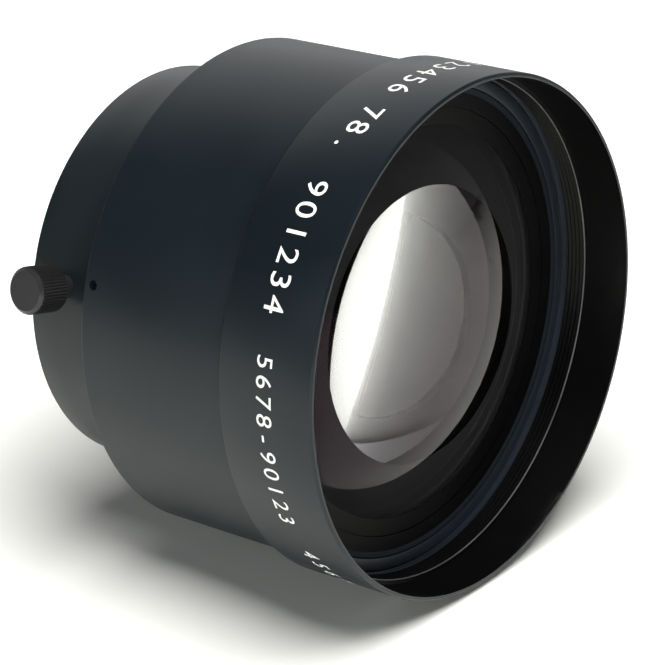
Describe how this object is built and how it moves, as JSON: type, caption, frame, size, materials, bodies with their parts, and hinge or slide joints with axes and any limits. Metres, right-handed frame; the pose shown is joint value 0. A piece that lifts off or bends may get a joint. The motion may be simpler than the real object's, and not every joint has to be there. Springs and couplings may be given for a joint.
{
  "type": "teleconverter lens",
  "caption": "Clamp-on front teleconverter for a video lens, with a hooded front ring, a filter thread, coated glass and a thumbscrew in its rear collar.",
  "frame": {"origin": "on the optical axis, in the plane of the clamp collar's rear end face", "axes": "+Z along the optical axis towards the front rim, +X along the thumbscrew's axis, away from the optical axis"},
  "size_m": [0.1103, 0.11, 0.085],
  "materials": {
    "black_anodised": "satin black anodised",
    "turned_black": "fine turned, black anodised",
    "screw_black": "blackened, knurled",
    "shoe_plastic": "plain moulded",
    "screw_steel": "dark oiled",
    "inner_black": "matte black anodised",
    "plain_tube": "plain, dull",
    "coated_glass": "polished, purple anti-reflection coating",
    "shim_brass": "plain rolled"
  },
  "bodies": {
    "root": {"front_ring": "black_anodised", "main_barrel": "black_anodised", "clamp_collar": "turned_black", "barrel_grub_screws": "screw_steel", "front_retaining_ring": "inner_black", "front_cell": "inner_black", "front_lens": "coated_glass", "lens_spacer": "inner_black", "middle_lens": "coated_glass", "cemented_lens": "coated_glass", "front_cell_ring": "inner_black", "spacing_tube": "plain_tube", "rear_cell": "inner_black", "rear_lens": "coated_glass", "rear_inner_lens": "coated_glass", "rear_cell_ring": "inner_black", "adjusting_shim": "shim_brass", "rear_cell_screws": "screw_steel"},
    "shoe": {"clamp_shoe": "shoe_plastic"},
    "thumbscrew": {"thumbscrew": "screw_black"}
  },
  "joints": [
    {"name": "shoe_slide", "type": "slide", "parent": "root", "child": "shoe", "axis": [1, 0, 0], "range_m": [-0.0028, 0.0008]},
    {"name": "screw_turn", "type": "hinge", "parent": "shoe", "child": "thumbscrew", "pos_m": [0.05, 0, 0.0095], "axis": [1, 0, 0], "range_deg": [-1262, 362]}
  ],
  "couplings": [
    {"joint": "screw_turn", "follows": "shoe_slide", "rad_per_m": 7854}
  ]
}
